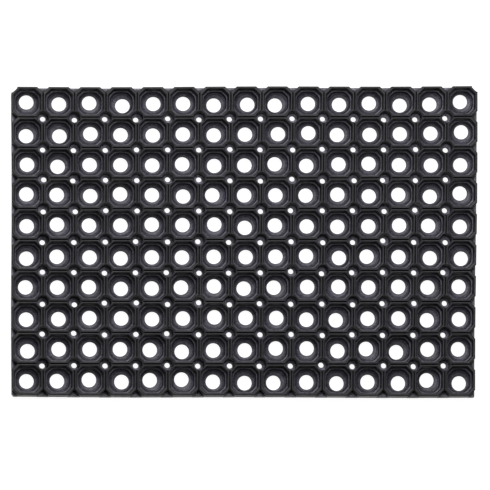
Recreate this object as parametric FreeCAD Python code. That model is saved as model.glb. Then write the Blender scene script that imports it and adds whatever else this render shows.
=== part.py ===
import FreeCAD, Part
import math
import os

# Moulded rubber drainage mat for a doorway: a grid of eight-sided open cells, each with a dished
# floor and a round drain hole, and a drain post with its own small hole at every crossing.
# Millimetres. Origin: middle of the mat on the floor. +X along the long side, +Y along the
# short side towards the back, +Z up.

# ---- grid ----
COLUMNS = 15
ROWS = 10
PITCH = 40.0

# ---- heights above the floor ----
HEIGHT = 22.0
LEDGE_Z = 13.5
STEP_FOOT_Z = 8.8
DISH_LIP_Z = 6.6
DISH_UNDER_Z = 4.0
SKIRT_Z = 2.0
TAB_TOP_Z = 12.0

# ---- one cell, seen from above ----
WALL_HALF_TOP = 2.9
WALL_DRAFT = 0.9
CELL_CHAMFER = 6.9
LEDGE_WIDTH = 1.9
STEP_DRAFT = 0.5
DRAIN_RADIUS = 9.6

# ---- groove pressed into the top of a wall between two cells ----
GROOVE_WIDTH = 1.2
GROOVE_DEPTH = 2.4
GROOVE_RUN = 1.5

# ---- drain post at a crossing ----
SHOULDER = 0.3
POST_MOUTH_RADIUS = 7.4
POST_DRAFT = 0.6
POST_EDGE = 0.5
POST_FLOOR_Z = 6.8
POST_FLOOR_RISE = 1.2
POST_DRAIN_RADIUS = 3.75
FOOT_RADIUS = 8.4
FOOT_EDGE = 0.6

# ---- notches and tabs along the outline ----
NOTCH_LEG = 7.5
CORNER_TAB_TRIM = {"front_right": 0.0, "front_left": 2.6}

LENGTH = COLUMNS * PITCH
DEPTH = ROWS * PITCH
HALF_CELL = PITCH / 2.0
WALL_HALF_LEDGE = WALL_HALF_TOP + WALL_DRAFT
FLAT_LEDGE = HALF_CELL - WALL_HALF_LEDGE
LEG_PER_DRAFT = 2.0 - math.sqrt(2.0)
REACH = WALL_HALF_LEDGE + CELL_CHAMFER + SHOULDER
WALL_END = HALF_CELL - REACH
STEP_RADIUS = FLAT_LEDGE - LEDGE_WIDTH
UP = FreeCAD.Vector(0, 0, 1)


def vec(x, y, z):
    return FreeCAD.Vector(x, y, z)


def outline_wire(points, z):
    ring = [vec(x, y, z) for x, y in points]
    return Part.makePolygon(ring + [ring[0]])


def prism(points, z_low, z_high):
    return Part.Face(outline_wire(points, z_low)).extrude(vec(0, 0, z_high - z_low))


def drafted(outline):
    """A piece of wall: straight up to the ledge, then thinner by the draft towards the top."""
    lower = prism(outline(0.0), SKIRT_Z, LEDGE_Z)
    wires = [outline_wire(outline(0.0), LEDGE_Z), outline_wire(outline(WALL_DRAFT), HEIGHT)]
    upper = Part.makeLoft(wires, True, True)
    return lower.fuse(upper).removeSplitter().Solids[0]


def turned(profile):
    """Solid of revolution about Z from (radius, z) points."""
    ring = [vec(r, 0, z) for r, z in profile]
    return Part.Face(Part.makePolygon(ring + [ring[0]])).revolve(vec(0, 0, 0), UP, 360)


def turned_copy(shape, degrees, x, y):
    copy = shape.copy()
    copy.rotate(vec(0, 0, 0), UP, degrees)
    copy.translate(vec(x, y, 0))
    return copy


def half_wall(thin):
    """Half thickness of a wall where the draft has thinned it by `thin`."""
    return WALL_HALF_LEDGE - thin


def chamfer_end(thin):
    """Distance from a crossing to where a cell's diagonal side meets its straight side."""
    return half_wall(thin) + CELL_CHAMFER + thin * LEG_PER_DRAFT


def groove():
    """Groove along X, centred on the origin; it runs a little way into the posts at its ends."""
    reach = WALL_END + GROOVE_RUN
    return Part.makeBox(2.0 * reach, GROOVE_WIDTH, GROOVE_DEPTH,
                        vec(-reach, -GROOVE_WIDTH / 2.0, HEIGHT - GROOVE_DEPTH))


def inner_wall():
    """Wall between two cells, along X, its middle on the origin."""
    def outline(thin):
        half = half_wall(thin)
        return [(-WALL_END, -half), (WALL_END, -half), (WALL_END, half), (-WALL_END, half)]
    return drafted(outline).cut(groove())


def outer_wall():
    """Free wall of a border cell, along X, its outer face on the line y = 0."""
    def outline(thin):
        half = half_wall(thin)
        return [(-WALL_END, 0.0), (WALL_END, 0.0), (WALL_END, half), (-WALL_END, half)]
    return drafted(outline)


def post_outline(thin):
    """Outline of a post: four ends that meet walls, and four diagonal sides that bound cells."""
    half, end = half_wall(thin), chamfer_end(thin)
    quarter = [(REACH, -half), (REACH, half), (end, half)]
    points = []
    for c, s in ((1, 0), (0, 1), (-1, 0), (0, -1)):
        points += [(c * x - s * y, s * x + c * y) for x, y in quarter]
        x, y = half, end
        points.append((c * x - s * y, s * x + c * y))
    return points


def drain_post():
    """Post with its foot and its stepped drain hole; the grooves of four walls run into it."""
    floor_radius = POST_MOUTH_RADIUS - POST_DRAFT
    bore = turned([
        (0.0, 0.0),
        (POST_DRAIN_RADIUS, 0.0),
        (POST_DRAIN_RADIUS, POST_FLOOR_Z),
        (floor_radius, POST_FLOOR_Z + POST_FLOOR_RISE),
        (POST_MOUTH_RADIUS, HEIGHT - POST_EDGE),
        (POST_MOUTH_RADIUS + POST_EDGE, HEIGHT),
        (0.0, HEIGHT),
    ])
    foot = turned([
        (0.0, 0.0),
        (FOOT_RADIUS - FOOT_EDGE, 0.0),
        (FOOT_RADIUS, FOOT_EDGE),
        (FOOT_RADIUS, SKIRT_Z),
        (0.0, SKIRT_Z),
    ])
    cuts = [bore]
    for k in range(4):
        a = math.radians(90.0 * k)
        cuts.append(turned_copy(groove(), 90.0 * k, HALF_CELL * math.cos(a), HALF_CELL * math.sin(a)))
    return drafted(post_outline).fuse(foot).cut(cuts)


def border_half():
    """Half of the wall round a border notch: x < 0, outer face on y = 0, notch tip at x = 0."""
    def outline(thin):
        half, end = half_wall(thin), chamfer_end(thin)
        return [(-REACH, 0.0), (-NOTCH_LEG, 0.0), (0.0, NOTCH_LEG), (0.0, REACH),
                (-half, REACH), (-half, end), (-end, half), (-REACH, half)]
    at_wall = groove()
    at_wall.rotate(vec(0, 0, 0), UP, 90)
    at_wall.translate(vec(0, HALF_CELL, 0))
    return drafted(outline).cut(at_wall)


def mat_corner():
    """Wall round an outer corner of the mat, the corner at the origin and the mat at x, y > 0."""
    def outline(thin):
        half, end = half_wall(thin), chamfer_end(thin)
        return [(NOTCH_LEG, 0.0), (REACH, 0.0), (REACH, half), (end, half),
                (half, end), (half, REACH), (0.0, REACH), (0.0, NOTCH_LEG)]
    return drafted(outline)


def dish_quarters():
    """Dished floor of a cell with its drain hole, as four quarters that meet face to face."""
    near = FLAT_LEDGE - CELL_CHAMFER
    corner = [(0.0, 0.0), (FLAT_LEDGE, 0.0), (FLAT_LEDGE, near), (near, FLAT_LEDGE), (0.0, FLAT_LEDGE)]
    opening = turned([
        (0.0, DISH_UNDER_Z),
        (DRAIN_RADIUS, DISH_UNDER_Z),
        (DRAIN_RADIUS, DISH_LIP_Z),
        (STEP_RADIUS - STEP_DRAFT, STEP_FOOT_Z),
        (STEP_RADIUS, LEDGE_Z),
        (0.0, LEDGE_Z),
    ])
    quarter = prism(corner, DISH_UNDER_Z, LEDGE_Z).cut(opening)
    return [turned_copy(quarter, 90.0 * k, 0, 0) for k in range(4)]


def corner_wedge(leg, z_high):
    """Wedge in a corner of the mat, the corner at the origin and the mat at x, y > 0."""
    return prism([(0.0, 0.0), (leg, 0.0), (0.0, leg)], 0.0, z_high)


def centre(column, row):
    return ((column - (COLUMNS - 1) / 2.0) * PITCH, (row - (ROWS - 1) / 2.0) * PITCH)


def crossing(column, row):
    return (column * PITCH - LENGTH / 2.0, row * PITCH - DEPTH / 2.0)


os.makedirs("parts", exist_ok=True)
parts = {}
wall, free_wall, post, dish = inner_wall(), outer_wall(), drain_post(), dish_quarters()
left_half = border_half()
right_half = left_half.mirror(vec(0, 0, 0), vec(1, 0, 0))

# Rows are counted from the front edge to the back edge, columns from left to right.
for row in range(ROWS):
    dishes = []
    for column in range(COLUMNS):
        x, y = centre(column, row)
        dishes += [turned_copy(quarter, 0, x, y) for quarter in dish]
    parts["dish_row_%02d" % (row + 1)] = dishes
    parts["cross_wall_row_%02d" % (row + 1)] = [
        turned_copy(wall, 90, crossing(column, row)[0], centre(column, row)[1])
        for column in range(1, COLUMNS)
    ]
for row in range(1, ROWS):
    parts["long_wall_row_%d" % row] = [
        turned_copy(wall, 0, centre(column, row)[0], crossing(column, row)[1])
        for column in range(COLUMNS)
    ]
    parts["drain_post_row_%d" % row] = [
        turned_copy(post, 0, *crossing(column, row)) for column in range(1, COLUMNS)
    ]

# Outline: free walls, the wall pieces round each notch, and the tabs on the notch floors.
tab = prism([(-NOTCH_LEG, 0.0), (NOTCH_LEG, 0.0), (0.0, NOTCH_LEG)], 0.0, TAB_TOP_Z)
columns, rows = range(1, COLUMNS), range(1, ROWS)
edges = {
    "front": (0, [(centre(i, 0)[0], -DEPTH / 2.0) for i in range(COLUMNS)],
              [crossing(i, 0) for i in columns]),
    "back": (180, [(centre(i, 0)[0], DEPTH / 2.0) for i in range(COLUMNS)],
             [crossing(i, ROWS) for i in columns]),
    "left": (-90, [(-LENGTH / 2.0, centre(0, i)[1]) for i in range(ROWS)],
             [crossing(0, i) for i in rows]),
    "right": (90, [(LENGTH / 2.0, centre(0, i)[1]) for i in range(ROWS)],
              [crossing(COLUMNS, i) for i in rows]),
}
for edge, (degrees, wall_places, notch_places) in edges.items():
    walls = [turned_copy(free_wall, degrees, x, y) for x, y in wall_places]
    for x, y in notch_places:
        walls += [turned_copy(left_half, degrees, x, y), turned_copy(right_half, degrees, x, y)]
    parts[edge + "_outer_wall"] = walls
    parts[edge + "_edge_tabs"] = [turned_copy(tab, degrees, x, y) for x, y in notch_places]

corner_places = {
    "front_left": (0, (-LENGTH / 2.0, -DEPTH / 2.0)),
    "front_right": (90, (LENGTH / 2.0, -DEPTH / 2.0)),
    "back_right": (180, (LENGTH / 2.0, DEPTH / 2.0)),
    "back_left": (270, (-LENGTH / 2.0, DEPTH / 2.0)),
}
parts["mat_corners"] = [turned_copy(mat_corner(), d, *place) for d, place in corner_places.values()]

# The two back corners were trimmed bare after moulding; the front corners keep their tabs.
for name, trim in CORNER_TAB_TRIM.items():
    degrees, place = corner_places[name]
    wedge = corner_wedge(NOTCH_LEG, TAB_TOP_Z)
    if trim > 0:
        wedge = wedge.cut(corner_wedge(trim, TAB_TOP_Z))
    parts[name + "_corner_tab"] = [turned_copy(wedge, degrees, *place)]

for name, pieces in parts.items():
    solids = [solid for piece in pieces for solid in piece.Solids]
    shape = solids[0] if len(solids) == 1 else Part.makeCompound(solids)
    shape.exportStep("parts/%s.step" % name)
    print(name, len(solids), "solids", round(shape.Volume / 1000.0, 1), "cm3", shape.isValid())
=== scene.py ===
import math
import random

import bmesh
import bpy
import numpy as np
from mathutils import Matrix, Vector


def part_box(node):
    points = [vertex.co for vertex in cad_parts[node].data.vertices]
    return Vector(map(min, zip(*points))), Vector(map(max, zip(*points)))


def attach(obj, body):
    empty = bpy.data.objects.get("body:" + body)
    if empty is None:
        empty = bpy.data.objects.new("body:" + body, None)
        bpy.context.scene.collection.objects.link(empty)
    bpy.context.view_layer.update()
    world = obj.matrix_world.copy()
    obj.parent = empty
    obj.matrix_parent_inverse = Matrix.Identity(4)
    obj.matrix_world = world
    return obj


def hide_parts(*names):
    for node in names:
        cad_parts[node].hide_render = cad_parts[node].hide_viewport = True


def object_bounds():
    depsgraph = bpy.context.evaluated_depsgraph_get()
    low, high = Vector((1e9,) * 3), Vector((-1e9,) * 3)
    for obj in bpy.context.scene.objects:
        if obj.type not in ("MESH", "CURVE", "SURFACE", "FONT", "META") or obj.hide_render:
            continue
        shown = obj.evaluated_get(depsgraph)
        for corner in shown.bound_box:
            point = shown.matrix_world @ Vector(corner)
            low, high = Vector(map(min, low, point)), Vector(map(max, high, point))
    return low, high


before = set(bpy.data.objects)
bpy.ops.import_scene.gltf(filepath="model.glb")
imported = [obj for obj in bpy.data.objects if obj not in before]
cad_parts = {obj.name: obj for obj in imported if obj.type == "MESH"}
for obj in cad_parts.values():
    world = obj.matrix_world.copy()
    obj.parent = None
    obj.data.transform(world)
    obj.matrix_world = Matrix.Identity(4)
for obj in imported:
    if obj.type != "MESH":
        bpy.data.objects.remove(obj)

# Moulded rubber drainage mat. Lengths in the tables below are millimetres and become metres
# when a mesh is made. One cell is built round its own middle, then set into its row.

MM = 0.001
cad_lo, cad_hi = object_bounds()


def box_mm(node):
    lo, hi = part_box(node)
    return np.array(lo) / MM, np.array(hi) / MM


# ---- sizes that follow the frame ----
dish_names = sorted(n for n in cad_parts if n.startswith("dish_row_"))
post_names = sorted(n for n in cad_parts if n.startswith("drain_post_row_"))
ROWS = len(dish_names)
COLUMNS = int(round(ROWS * (cad_hi[0] - cad_lo[0]) / (cad_hi[1] - cad_lo[1])))
PITCH = (cad_hi[1] - cad_lo[1]) / MM / ROWS
TOP = cad_hi[2] / MM
SKIRT = box_mm("front_outer_wall")[0][2]
HALF = PITCH / 2.0
tab_lo, tab_hi = box_mm("front_edge_tabs")
NOTCH = tab_hi[1] - tab_lo[1]
TAB_TOP = tab_hi[2]
LONG = COLUMNS * PITCH
SHORT = ROWS * PITCH
FOOT_R = 8.4
CORNER_TRIM = 2.6

# ---- form of one cell ----
LEDGE = 13.5
WEB_TOP = 6.6
WEB_UNDER = 4.0
CHAMFER = 6.9
FLAT_AT_LEDGE = 16.2
STEP_FLAT = 14.3
STEP_R = 14.9
DRAIN_R = 9.4
CORNER_ROUND = 1.5
PER_QUARTER = 14
# how far a punched drain wanders from its middle: usual and greatest, in a cell and in a post
CELL_DRIFT = (1.2, 2.3)
POST_DRIFT = (0.75, 1.6)

# The last number of each entry is painted shading: it scales the rubber's colour there, 1 being the plain
# colour, lower for painted shade in grooves, walls and steps, higher for painted light on rims and ledges.
# (flat distance from the middle, height, painted shading) up the eight-sided wall and over the rim
POCKET_WALL = [
    (16.0, LEDGE + 0.1, 1.0), (16.2, LEDGE + 0.45, 0.45), (16.65, 18.0, 0.35), (17.0, 21.0, 0.35),
    (17.12, 21.5, 0.55), (17.38, 21.84, 1.2), (17.85, TOP, 1.5),
]
# (radius, height, painted shading) from the drain's lower edge up the dish to the foot of the step
DISH = [
    (DRAIN_R + 0.15, WEB_UNDER, 0.5), (DRAIN_R, WEB_UNDER + 0.3, 0.5), (DRAIN_R, WEB_TOP - 0.5, 0.5),
    (DRAIN_R + 0.1, WEB_TOP - 0.12, 0.9), (10.1, WEB_TOP + 0.06, 1.05), (10.9, 6.83, 1.05),
    (11.6, 7.15, 1.25), (12.3, 7.5, 1.0), (12.8, 7.9, 0.62), (13.35, 8.4, 0.98), (13.65, 8.75, 0.8),
]
# (outward from the step's line, height, painted shading) up the step to the ledge
STEP = [(-0.35, 9.4, 0.4), (-0.1, 12.5, 0.3), (0.02, 12.95, 0.5), (0.35, 13.25, 0.95), (0.75, 13.3, 1.05)]
# groove side: (distance in from the boundary, height, painted shading)
GROOVE = [(1.3, TOP, 1.45), (0.8, 21.88, 1.0), (0.6, 21.55, 0.45), (0.5, 19.6, 0.3), (0.0, 19.4, 0.3)]
# free outer wall: the same
OUTER_EDGE = [(0.95, TOP, 1.1), (0.35, 21.82, 0.8), (0.06, 21.35, 0.5), (0.0, 20.6, 0.45), (0.0, 19.4, 0.45)]
# land between the rim and a drain post: (share of the way out, painted shading)
TO_POST = [(0.3, 1.3), (0.5, 1.0), (0.7, 0.9), (0.85, 1.0), (1.0, 1.2)]


def eight_sided(half):
    """Rounded octagon, PER_QUARTER points a quarter, starting at the middle of the +X side."""
    leg = CHAMFER + (half - FLAT_AT_LEDGE) * (2.0 - math.sqrt(2.0))
    reach = CORNER_ROUND * math.tan(math.radians(22.5))
    end = half - leg - reach
    pts = [(half, end * k / 3.0) for k in range(4)]
    for k in (1, 2, 3):
        a = math.radians(15.0 * k)
        pts.append((half - CORNER_ROUND * (1 - math.cos(a)), end + CORNER_ROUND * math.sin(a)))
    mirrored = [(y, x) for x, y in reversed(pts)]
    middle = (half - leg / 2.0, half - leg / 2.0)
    quarter = pts + [middle] + mirrored[:-1]
    return full_turn(quarter)


def full_turn(quarter):
    q = np.array(quarter)
    return np.concatenate([q, np.stack([-q[:, 1], q[:, 0]], 1), -q, np.stack([q[:, 1], -q[:, 0]], 1)])


def circle(radius, centre=(0.0, 0.0)):
    a = np.arange(4 * PER_QUARTER) * (math.pi / 2 / PER_QUARTER)
    return np.stack([centre[0] + radius * np.cos(a), centre[1] + radius * np.sin(a)], 1)


# outline of a corner that was cut back after moulding, in notch lengths in from the two sides
CUT_CORNER = [(0.0, 1.0), (0.24, 0.97), (0.41, 0.8), (0.61, 0.61), (0.8, 0.41), (0.97, 0.24), (1.0, 0.0)]


def outer_line(corners):
    """Outline of a cell: straight sides, and at each corner an arc round a post, a notch or a cut."""
    out = []
    side = [0.0, 3.5, 7.0, 10.4]
    for q in range(4):
        pts = [(HALF, v) for v in side]
        for k in range(7):
            if corners[q] == "post":
                a = math.radians(270.0 - 15.0 * k)
                pts.append((HALF + FOOT_R * math.cos(a), HALF + FOOT_R * math.sin(a)))
            elif corners[q] == "cut":
                pts.append((HALF - NOTCH * CUT_CORNER[k][0], HALF - NOTCH * CUT_CORNER[k][1]))
            else:
                pts.append((HALF - NOTCH * k / 6.0, HALF - NOTCH * (1 - k / 6.0)))
        pts += [(v, HALF) for v in (10.4, 7.0, 3.5)]
        c, s = [(1, 0), (0, 1), (-1, 0), (0, -1)][q]
        out += [(c * x - s * y, s * x + c * y) for x, y in pts]
    return np.array(out)


def inward(corners, index):
    """Direction into the cell, square to its outline, at one point."""
    q, k = divmod(index, PER_QUARTER)
    turn = math.pi / 2 * q
    if 4 <= k <= 10:
        turn += math.pi / 4
        if k in (4, 10):
            turn += math.radians(-22.5 if k == 4 else 22.5)
    elif k > 10:
        turn += math.pi / 2
    return np.array([-math.cos(turn), -math.sin(turn)])


def point_kind(sides, corners, index):
    q, k = divmod(index, PER_QUARTER)
    if k <= 3:
        return "groove" if sides[q] else "wall"
    if k <= 10:
        return "post" if corners[q] == "post" else "wall"
    return "groove" if sides[(q + 1) % 4] else "wall"


def rim_to_boundary(sides, corners):
    """Five loops from the land out to the cell's outline, by what lies beyond each point."""
    rim = eight_sided(POCKET_WALL[-1][0])
    edge = outer_line(corners)
    loops = [np.zeros((len(edge), 4)) for _ in range(5)]
    for i in range(len(edge)):
        kind = point_kind(sides, corners, i)
        for n in range(5):
            if kind == "post":
                share, tone_and_painted_shading = TO_POST[n]
                p = rim[i] + (edge[i] - rim[i]) * share
                z = TOP
            else:
                table = GROOVE if kind == "groove" else OUTER_EDGE
                grow = 1.0
                if kind == "wall" and i % PER_QUARTER in (4, 10):
                    grow = 1.0 / math.cos(math.radians(22.5))
                inset, z, tone_and_painted_shading = table[n]
                p = edge[i] + inward(corners, i) * inset * grow
            loops[n][i] = (p[0], p[1], z, tone_and_painted_shading)
    return loops, edge


def step_line(out):
    """Line of the step inside the ledge: half way between the octagon and a circle."""
    return (eight_sided(STEP_FLAT + out) + circle(STEP_R + out)) / 2.0


def at_height(points, z, tone_and_painted_shading):
    return np.column_stack([points, np.full(len(points), z), np.full(len(points), tone_and_painted_shading)])


def cell_loops(sides, corners, shift):
    """Every loop of one cell, from the drain's lower edge up, out over the top and back under."""
    loops = []
    for radius, z, tone_and_painted_shading in DISH:
        follow = min(1.0, max(0.0, (DISH[-1][0] - radius) / (DISH[-1][0] - 10.7)))
        loops.append(at_height(circle(radius, shift * follow), z, tone_and_painted_shading))
    loops += [at_height(step_line(out), z, tone_and_painted_shading) for out, z, tone_and_painted_shading in STEP]
    loops += [at_height(eight_sided(half), z, tone_and_painted_shading) for half, z, tone_and_painted_shading in POCKET_WALL]
    top_loops, edge = rim_to_boundary(sides, corners)
    loops += top_loops
    # The loops under the skirt and web carry painted shading below 1: painted shade underneath.
    loops.append(at_height(edge, SKIRT + 0.3, 0.6))
    under = edge.copy()
    for i in range(len(edge)):
        if point_kind(sides, corners, i) == "wall":
            under[i] = edge[i] + inward(corners, i) * 0.3
    loops.append(at_height(under, SKIRT, 0.6))
    for half, z in [(16.5, SKIRT), (16.2, SKIRT + 0.3), (16.15, WEB_UNDER - 0.3), (15.9, WEB_UNDER)]:
        loops.append(at_height(eight_sided(half), z, 0.7))
    loops.append(at_height(circle(13.2), WEB_UNDER, 0.8))
    return loops


def ring_faces(loops, start, skip=None):
    """Quads between each loop and the next, the last one closing back on the first."""
    count = len(loops[0])
    faces = []
    for n in range(len(loops)):
        a = start + n * count
        b = start + ((n + 1) % len(loops)) * count
        for k in range(count):
            if skip and skip(n, k):
                continue
            k2 = (k + 1) % count
            faces.append((a + k, a + k2, b + k2, b + k))
    return faces


def lie(points):
    """How the soft mat lies: a few millimetres of stretch and skew, most at one corner."""
    x = points[:, 0] / (LONG / 2.0)
    y = points[:, 1] / (SHORT / 2.0)
    wave = 0.35 * np.sin(5.1 * x + 1.3) * np.abs(y) ** 3
    side = 0.45 * np.sin(3.7 * y + 0.4) * np.abs(x) ** 3
    points[:, 0] += 2.2 * y + 2.2 * x * y + 1.2 * (1 - x * x) + side
    points[:, 1] += 1.9 * x + 1.2 * x * y + 1.0 * (1 - y * y) + 0.3 * x * x + 1.5 * y + wave
    return points


def new_piece(name, verts, faces, weld=False):
    mesh = bpy.data.meshes.new(name)
    table = lie(np.array(verts, float))
    mesh.from_pydata((table[:, :3] * MM).tolist(), [], faces)
    # Stores each vertex's painted shading, which the material multiplies into the colour.
    mesh.attributes.new("tone_and_painted_shading", "FLOAT", "POINT").data.foreach_set("value", table[:, 3])
    bm = bmesh.new()
    bm.from_mesh(mesh)
    if weld:
        bmesh.ops.remove_doubles(bm, verts=bm.verts, dist=2e-6)
    bmesh.ops.recalc_face_normals(bm, faces=bm.faces)
    for f in bm.faces:
        f.smooth = True
    bm.to_mesh(mesh)
    bm.free()
    mesh.validate()
    piece = bpy.data.objects.new(name, mesh)
    bpy.context.scene.collection.objects.link(piece)
    return piece


def hand_over(piece, material, *nodes):
    piece.data.materials.append(material)
    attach(piece, "root")
    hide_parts(*nodes)


def wander(rng, drift):
    usual, most = drift
    return np.array([max(-most, min(most, rng.gauss(0.0, usual))) for _ in range(2)])


def make_cell_row(row, name, material):
    rng = random.Random(4100 + row)
    verts, faces = [], []
    cy = (row - (ROWS - 1) / 2.0) * PITCH
    for column in range(COLUMNS):
        cx = (column - (COLUMNS - 1) / 2.0) * PITCH
        left, right = column > 0, column < COLUMNS - 1
        front, back = row > 0, row < ROWS - 1
        sides = [right, back, left, front]
        corners = [
            "post" if right and back else "notch" if right or back else "cut",
            "post" if left and back else "notch" if left or back else "cut",
            "post" if left and front else "notch",
            "post" if right and front else "notch",
        ]
        loops = cell_loops(sides, corners, wander(rng, CELL_DRIFT))
        wall = len(DISH) + len(STEP) + len(POCKET_WALL) + 4

        def joined(n, k):
            # no wall inside the row, where one cell runs on into the next
            if n != wall:
                return False
            q, along = divmod(k, PER_QUARTER)
            side = q if along <= 3 else (q + 1) % 4 if along >= 10 else None
            return side in (0, 2) and sides[side]

        faces += ring_faces(loops, len(verts), joined)
        block = np.concatenate(loops)
        block[:, 0] += cx
        block[:, 1] += cy
        verts += block.tolist()
    nodes = ["dish_row_%02d" % (row + 1), "cross_wall_row_%02d" % (row + 1)]
    if row < ROWS - 1:
        nodes.append("long_wall_row_%d" % (row + 1))
    if row == 0:
        nodes += ["front_outer_wall", "left_outer_wall", "mat_corners"]
    if row == ROWS - 1:
        nodes += ["back_outer_wall", "right_outer_wall"]
    hand_over(new_piece(name, verts, faces, weld=True), material, *nodes)


# (radius, height, painted shading) round a drain post, from the drain's lower edge up, over the mouth and
# down: painted light on the hollow's floor and round the mouth, painted shade on its walls
POST_FORM = [
    (3.85, 0.0, 0.5), (3.6, 0.35, 0.5), (3.6, 6.4, 0.7), (3.7, 6.7, 1.8), (4.05, 6.85, 3.0),
    (6.2, 7.5, 3.0), (6.75, 8.0, 2.2), (6.98, 9.8, 0.9), (7.2, 15.5, 0.55), (7.38, 20.8, 0.5),
    (7.46, 21.4, 1.0), (7.66, 21.8, 2.0), (8.0, 21.97, 1.6), (8.5, 21.97, 1.1), (8.5, 2.2, 0.6),
    (8.4, 1.9, 0.6), (8.38, 0.6, 0.6), (8.1, 0.12, 0.7), (7.7, 0.0, 0.7),
]


def make_post_row(index, name, material):
    rng = random.Random(7300 + index)
    count = 40
    verts, faces = [], []
    cy = (index + 1 - ROWS / 2.0) * PITCH
    for column in range(1, COLUMNS):
        cx = (column - COLUMNS / 2.0) * PITCH
        drift = wander(rng, POST_DRIFT)
        loops = []
        a = np.arange(count) * (2 * math.pi / count)
        for radius, z, tone_and_painted_shading in POST_FORM:
            follow = 1.0 if radius < 5.0 else 0.0
            x = cx + radius * np.cos(a) + drift[0] * follow
            y = cy + radius * np.sin(a) + drift[1] * follow
            loops.append(at_height(np.column_stack([x, y]), z, tone_and_painted_shading))
        faces += ring_faces(loops, len(verts))
        verts += np.concatenate(loops).tolist()
    hand_over(new_piece(name, verts, faces), material, post_names[index])


def tab_outline():
    """Wedge that fills a notch's floor; its free face runs along y = 0, from -NOTCH to NOTCH."""
    pts = [(-NOTCH, 0.0), (-NOTCH / 2, 0.0), (0.0, 0.0), (NOTCH / 2, 0.0), (NOTCH, 0.0)]
    back = [(NOTCH * 0.75, 0.25), (NOTCH * 0.5, 0.5), (NOTCH * 0.25, 0.75), (0.0, 1.0)]
    right = [(x + 0.12, NOTCH * v + 0.12) for x, v in back[:-1]]
    left = [(-x, y) for x, y in reversed(right)]
    return np.array(pts + right + [(0.0, NOTCH + 0.15)] + left)


def corner_outline(trim):
    """Wedge in a corner notch, its right angle at the origin and its legs along -X and -Y."""
    n = NOTCH
    if trim > 0:
        outer = [(-n, 0), (-(n + trim) / 2, 0), (-trim, 0), (-trim * 0.45, -trim * 0.55), (0, -trim)]
        outer += [(0, -(n + trim) / 2), (0, -n)]
    else:
        outer = [(-n, 0), (-n / 2, 0), (0, 0), (0, -n / 2), (0, -n)]
    inner = [(-n * 0.25 - 0.12, -n * 0.75 - 0.12), (-n * 0.5 - 0.12, -n * 0.5 - 0.12),
             (-n * 0.75 - 0.12, -n * 0.25 - 0.12)]
    return np.array(outer + inner, float)


def tab_block(outline, free, place, degrees):
    """Loops of one tab, rounded where its top meets its free faces."""
    a = math.radians(degrees)
    turn = np.array([[math.cos(a), -math.sin(a)], [math.sin(a), math.cos(a)]])
    middle = outline.mean(0)
    loops = []
    for inset, z in [(0.5, 0.0), (0.1, 0.25), (0.0, 0.8), (0.0, TAB_TOP - 1.0), (0.12, TAB_TOP - 0.45),
                     (0.5, TAB_TOP - 0.08), (1.0, TAB_TOP)]:
        pts = outline.copy()
        for i in free:
            way = middle - pts[i]
            pts[i] = pts[i] + way / np.linalg.norm(way) * inset
        loops.append(at_height(pts @ turn.T + np.array(place), z, 1.0))
    return loops


def make_tabs(name, node, blocks, material):
    verts, faces = [], []
    for loops in blocks:
        start, count = len(verts), len(loops[0])
        side = ring_faces(loops, start)
        faces += side[: (len(loops) - 1) * count]
        faces.append(tuple(range(start, start + count)))
        last = start + (len(loops) - 1) * count
        faces.append(tuple(range(last + count - 1, last - 1, -1)))
        verts += np.concatenate(loops).tolist()
    hand_over(new_piece(name, verts, faces), material, node)


# ---------------------------------------------------------------- materials


def socket(group, name, kind, way, value=None):
    s = group.interface.new_socket(name=name, in_out=way, socket_type=kind)
    if value is not None:
        s.default_value = value
    return s


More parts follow.
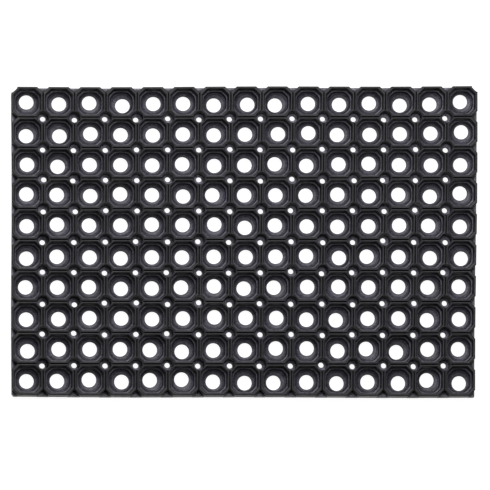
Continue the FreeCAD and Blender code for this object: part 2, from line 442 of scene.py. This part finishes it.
def rubber_skin_group():
    """Fine moulded grain, soft flow marks and pinholes of black rubber."""
    g = bpy.data.node_groups.new("rubber_skin", "ShaderNodeTree")
    socket(g, "Grain Scale", "NodeSocketFloat", "INPUT", 900.0)
    socket(g, "Flow Scale", "NodeSocketFloat", "INPUT", 22.0)
    socket(g, "Height", "NodeSocketFloat", "OUTPUT")
    socket(g, "Flow", "NodeSocketFloat", "OUTPUT")
    socket(g, "Mottle", "NodeSocketFloat", "OUTPUT")
    nt = g.nodes
    link = g.links.new
    gin, gout = nt.new("NodeGroupInput"), nt.new("NodeGroupOutput")
    where = nt.new("ShaderNodeTexCoord")
    grain = nt.new("ShaderNodeTexNoise")
    grain.inputs["Detail"].default_value = 4.0
    grain.inputs["Roughness"].default_value = 0.62
    link(where.outputs["Object"], grain.inputs["Vector"])
    link(gin.outputs["Grain Scale"], grain.inputs["Scale"])
    flow = nt.new("ShaderNodeTexNoise")
    flow.inputs["Detail"].default_value = 5.0
    flow.inputs["Distortion"].default_value = 1.4
    link(where.outputs["Object"], flow.inputs["Vector"])
    link(gin.outputs["Flow Scale"], flow.inputs["Scale"])
    pits = nt.new("ShaderNodeTexVoronoi")
    pits.inputs["Scale"].default_value = 260.0
    link(where.outputs["Object"], pits.inputs["Vector"])
    pit = nt.new("ShaderNodeMapRange")
    pit.inputs["From Min"].default_value = 0.05
    pit.inputs["From Max"].default_value = 0.16
    pit.inputs["To Min"].default_value = 1.0
    pit.inputs["To Max"].default_value = 0.0
    link(pits.outputs["Distance"], pit.inputs["Value"])
    sparse = nt.new("ShaderNodeMath")
    sparse.operation = "GREATER_THAN"
    sparse.inputs[1].default_value = 0.72
    apart = nt.new("ShaderNodeSeparateColor")
    link(pits.outputs["Color"], apart.inputs["Color"])
    link(apart.outputs["Red"], sparse.inputs[0])
    speck = nt.new("ShaderNodeMath")
    speck.operation = "MULTIPLY"
    link(pit.outputs["Result"], speck.inputs[0])
    link(sparse.outputs["Value"], speck.inputs[1])
    height = nt.new("ShaderNodeMath")
    height.operation = "MULTIPLY_ADD"
    height.inputs[1].default_value = -0.8
    link(speck.outputs["Value"], height.inputs[0])
    link(grain.outputs["Fac"], height.inputs[2])
    link(height.outputs["Value"], gout.inputs["Height"])
    link(flow.outputs["Fac"], gout.inputs["Flow"])
    patch = nt.new("ShaderNodeTexNoise")
    patch.inputs["Scale"].default_value = 430.0
    patch.inputs["Detail"].default_value = 3.0
    link(where.outputs["Object"], patch.inputs["Vector"])
    mottle = nt.new("ShaderNodeMapRange")
    mottle.inputs["From Min"].default_value = 0.35
    mottle.inputs["From Max"].default_value = 0.65
    mottle.inputs["To Min"].default_value = 0.62
    mottle.inputs["To Max"].default_value = 1.42
    link(patch.outputs["Fac"], mottle.inputs["Value"])
    link(mottle.outputs["Result"], gout.inputs["Mottle"])
    return g


def bloom_and_painted_light_group():
    """Pale bloom and dust that settles on level faces below the tread, broken up by noise; the same mask is
    also painted light, lightening those upward faces as light from above would.
    """
    g = bpy.data.node_groups.new("settled_bloom_and_painted_light", "ShaderNodeTree")
    socket(g, "Tread Height", "NodeSocketFloat", "INPUT", 0.0205)
    socket(g, "Amount", "NodeSocketFloat", "INPUT", 1.0)
    socket(g, "Mask", "NodeSocketFloat", "OUTPUT")
    nt = g.nodes
    link = g.links.new
    gin, gout = nt.new("NodeGroupInput"), nt.new("NodeGroupOutput")
    where = nt.new("ShaderNodeTexCoord")
    place = nt.new("ShaderNodeSeparateXYZ")
    link(where.outputs["Object"], place.inputs["Vector"])
    below = nt.new("ShaderNodeMath")
    below.operation = "LESS_THAN"
    link(place.outputs["Z"], below.inputs[0])
    link(gin.outputs["Tread Height"], below.inputs[1])
    face = nt.new("ShaderNodeNewGeometry")
    facing = nt.new("ShaderNodeSeparateXYZ")
    link(face.outputs["Normal"], facing.inputs["Vector"])
    level = nt.new("ShaderNodeMapRange")
    level.inputs["From Min"].default_value = 0.25
    level.inputs["From Max"].default_value = 0.95
    link(facing.outputs["Z"], level.inputs["Value"])
    broken = nt.new("ShaderNodeTexNoise")
    broken.inputs["Scale"].default_value = 48.0
    broken.inputs["Detail"].default_value = 6.0
    broken.inputs["Roughness"].default_value = 0.7
    link(where.outputs["Object"], broken.inputs["Vector"])
    spread = nt.new("ShaderNodeMapRange")
    spread.inputs["From Min"].default_value = 0.3
    spread.inputs["From Max"].default_value = 0.7
    spread.inputs["To Min"].default_value = 0.45
    link(broken.outputs["Fac"], spread.inputs["Value"])
    first = nt.new("ShaderNodeMath")
    first.operation = "MULTIPLY"
    link(below.outputs["Value"], first.inputs[0])
    link(level.outputs["Result"], first.inputs[1])
    second = nt.new("ShaderNodeMath")
    second.operation = "MULTIPLY"
    link(first.outputs["Value"], second.inputs[0])
    link(spread.outputs["Result"], second.inputs[1])
    third = nt.new("ShaderNodeMath")
    third.operation = "MULTIPLY"
    link(second.outputs["Value"], third.inputs[0])
    link(gin.outputs["Amount"], third.inputs[1])
    link(third.outputs["Value"], gout.inputs["Mask"])
    return g


def rubber(name, skin, bloom_and_painted_light, dark, pale, amount, rough):
    """Black rubber: charcoal body, pale bloom and painted light in the hollows, painted shade darkening the
    steep walls and grooves, painted light on the rims, and duller steep walls.
    """
    mat = bpy.data.materials.new(name)
    mat.use_nodes = True
    nt = mat.node_tree.nodes
    link = mat.node_tree.links.new
    nt.clear()
    out = nt.new("ShaderNodeOutputMaterial")
    body = nt.new("ShaderNodeBsdfPrincipled")
    body.inputs["IOR"].default_value = 1.5
    link(body.outputs["BSDF"], out.inputs["Surface"])
    s = nt.new("ShaderNodeGroup")
    s.node_tree = skin
    b = nt.new("ShaderNodeGroup")
    b.node_tree = bloom_and_painted_light
    b.inputs["Amount"].default_value = amount
    tone_and_painted_shading = nt.new("ShaderNodeMix")
    tone_and_painted_shading.data_type = "RGBA"
    tone_and_painted_shading.inputs["A"].default_value = (*[c * 0.8 for c in dark], 1)
    tone_and_painted_shading.inputs["B"].default_value = (*[c * 1.25 for c in dark], 1)
    link(s.outputs["Flow"], tone_and_painted_shading.inputs["Factor"])
    # Mixes in the pale colour by the mask: partly bloom and dust, partly painted light on level faces in the
    # hollows.
    dust_and_painted_light = nt.new("ShaderNodeMix")
    dust_and_painted_light.data_type = "RGBA"
    dust_and_painted_light.inputs["B"].default_value = (*pale, 1)
    link(b.outputs["Mask"], dust_and_painted_light.inputs["Factor"])
    link(tone_and_painted_shading.outputs["Result"], dust_and_painted_light.inputs["A"])
    # Per-vertex painted shading scales the base colour: painted shade in grooves, on walls and steps, and
    # painted light on rims, ledges and the drain posts' floors.
    painted_shading = nt.new("ShaderNodeAttribute")
    painted_shading.attribute_name = "tone_and_painted_shading"
    shade = nt.new("ShaderNodeMath")
    shade.operation = "MULTIPLY"
    link(painted_shading.outputs["Fac"], shade.inputs[0])
    link(s.outputs["Mottle"], shade.inputs[1])
    shaded = nt.new("ShaderNodeVectorMath")
    shaded.operation = "SCALE"
    link(dust_and_painted_light.outputs["Result"], shaded.inputs[0])
    link(shade.outputs["Value"], shaded.inputs["Scale"])
    link(shaded.outputs["Vector"], body.inputs["Base Color"])
    sheen = nt.new("ShaderNodeMapRange")
    sheen.inputs["From Min"].default_value = 0.25
    sheen.inputs["From Max"].default_value = 1.1
    sheen.inputs["To Min"].default_value = 0.02
    sheen.inputs["To Max"].default_value = 0.42
    link(painted_shading.outputs["Fac"], sheen.inputs["Value"])
    link(sheen.outputs["Result"], body.inputs["Specular IOR Level"])
    gloss = nt.new("ShaderNodeMapRange")
    gloss.inputs["From Min"].default_value = 0.3
    gloss.inputs["From Max"].default_value = 0.7
    gloss.inputs["To Min"].default_value = rough - 0.08
    gloss.inputs["To Max"].default_value = rough + 0.1
    link(s.outputs["Flow"], gloss.inputs["Value"])
    link(gloss.outputs["Result"], body.inputs["Roughness"])
    bump = nt.new("ShaderNodeBump")
    bump.inputs["Strength"].default_value = 0.35
    bump.inputs["Distance"].default_value = 0.0002
    link(s.outputs["Height"], bump.inputs["Height"])
    link(bump.outputs["Normal"], body.inputs["Normal"])
    return mat


def floor_material():
    """Pale floor, clear from below so that the underside of the mat can be seen."""
    mat = bpy.data.materials.new("pale_floor")
    mat.use_nodes = True
    nt = mat.node_tree.nodes
    link = mat.node_tree.links.new
    body = nt["Principled BSDF"]
    body.inputs["Base Color"].default_value = (0.3, 0.3, 0.3, 1)
    body.inputs["Roughness"].default_value = 0.95
    body.inputs["Specular IOR Level"].default_value = 0.0
    body.inputs["Emission Color"].default_value = (1, 1, 1, 1)
    body.inputs["Emission Strength"].default_value = 0.95
    side = nt.new("ShaderNodeNewGeometry")
    clear = nt.new("ShaderNodeBsdfTransparent")
    either = nt.new("ShaderNodeMixShader")
    link(side.outputs["Backfacing"], either.inputs["Fac"])
    link(body.outputs["BSDF"], either.inputs[1])
    link(clear.outputs["BSDF"], either.inputs[2])
    link(either.outputs["Shader"], nt["Material Output"].inputs["Surface"])
    return mat


# ---------------------------------------------------------------- camera, light and floor


def make_camera():
    azimuth, elevation, distance = math.radians(-26.0), math.radians(79.6), 8.0
    back = Vector((math.sin(azimuth) * math.cos(elevation), -math.cos(azimuth) * math.cos(elevation),
                   math.sin(elevation)))
    up = Vector((0, 1, 0)) - back.y * back
    up.normalize()
    right = up.cross(back)
    roll = math.radians(0.39)
    up2 = up * math.cos(roll) + right * math.sin(roll)
    right2 = right * math.cos(roll) - up * math.sin(roll)
    data = bpy.data.cameras.new("view")
    data.sensor_width = 36.0
    data.lens = 456.1
    data.clip_start, data.clip_end = 0.1, 60.0
    cam = bpy.data.objects.new("view", data)
    target = Vector((0.001, -0.0041, 0.01))
    turn = Matrix((right2, up2, back)).transposed().to_4x4()
    cam.matrix_world = Matrix.Translation(target + back * distance) @ turn
    bpy.context.scene.collection.objects.link(cam)
    bpy.context.scene.camera = cam


def area_light(name, place, aim, size, power):
    data = bpy.data.lights.new(name, "AREA")
    data.shape = "DISK"
    data.size = size
    data.energy = power
    lamp = bpy.data.objects.new(name, data)
    lamp.location = place
    lamp.rotation_mode = "QUATERNION"
    lamp.rotation_quaternion = (Vector(aim) - Vector(place)).to_track_quat("-Z", "Y")
    bpy.context.scene.collection.objects.link(lamp)


def make_studio():
    world = bpy.data.worlds.new("studio")
    world.use_nodes = True
    world.node_tree.nodes["Background"].inputs["Color"].default_value = (1, 1, 1, 1)
    world.node_tree.nodes["Background"].inputs["Strength"].default_value = 0.14
    bpy.context.scene.world = world
    area_light("overhead", (0.2, 0.4, 1.7), (0, 0, 0), 1.0, 12.0)
    area_light("back_key", (-0.6, 1.5, 1.8), (0, 0, 0), 0.7, 27.0)
    mesh = bpy.data.meshes.new("floor")
    r = 12.0
    mesh.from_pydata([(-r, -r, 0), (r, -r, 0), (r, r, 0), (-r, r, 0)], [], [(0, 1, 2, 3)])
    floor = bpy.data.objects.new("floor", mesh)
    floor.location.z = -0.0005
    bpy.context.scene.collection.objects.link(floor)
    floor.data.materials.append(floor_material())
    view = bpy.context.scene.view_settings
    view.view_transform = "Standard"
    view.look = "None"


# ---------------------------------------------------------------- assembly

skin = rubber_skin_group()
bloom_and_painted_light = bloom_and_painted_light_group()
# The pale colours are partly bloom and partly painted light: the posts' is raised a little to lighten their
# hollows' floors, and the tabs' colours, the pale one most, are painted light on the tabs down in their
# notches.
cell_rubber = rubber("cell_rubber", skin, bloom_and_painted_light, (0.0088, 0.0083, 0.0112), (0.108, 0.102, 0.132), 1.0, 0.5)
post_rubber = rubber("post_rubber", skin, bloom_and_painted_light, (0.0088, 0.0083, 0.0112), (0.115, 0.109, 0.138), 1.0, 0.55)
tab_rubber = rubber("tab_rubber", skin, bloom_and_painted_light, (0.012, 0.012, 0.014), (0.300, 0.288, 0.345), 0.9, 0.5)

for row in range(ROWS):
    make_cell_row(row, "cells_%02d" % (row + 1), cell_rubber)
for index in range(ROWS - 1):
    make_post_row(index, "drain_posts_%d" % (index + 1), post_rubber)

across = [(c - COLUMNS / 2.0) * PITCH for c in range(1, COLUMNS)]
along = [(r - ROWS / 2.0) * PITCH for r in range(1, ROWS)]
plain = tab_outline()
free_side = [0, 1, 2, 3, 4]
make_tabs("tabs_front", "front_edge_tabs", [tab_block(plain, free_side, (x, -SHORT / 2), 0) for x in across],
          tab_rubber)
make_tabs("tabs_back", "back_edge_tabs", [tab_block(plain, free_side, (x, SHORT / 2), 180) for x in across],
          tab_rubber)
make_tabs("tabs_left", "left_edge_tabs", [tab_block(plain, free_side, (-LONG / 2, y), -90) for y in along],
          tab_rubber)
make_tabs("tabs_right", "right_edge_tabs", [tab_block(plain, free_side, (LONG / 2, y), 90) for y in along],
          tab_rubber)
make_tabs("tab_front_right", "front_right_corner_tab",
          [tab_block(corner_outline(0), free_side, (LONG / 2, -SHORT / 2), -90)], tab_rubber)
make_tabs("tab_front_left", "front_left_corner_tab",
          [tab_block(corner_outline(CORNER_TRIM), free_side + [5, 6], (-LONG / 2, -SHORT / 2), 180)],
          tab_rubber)

make_camera()
make_studio()
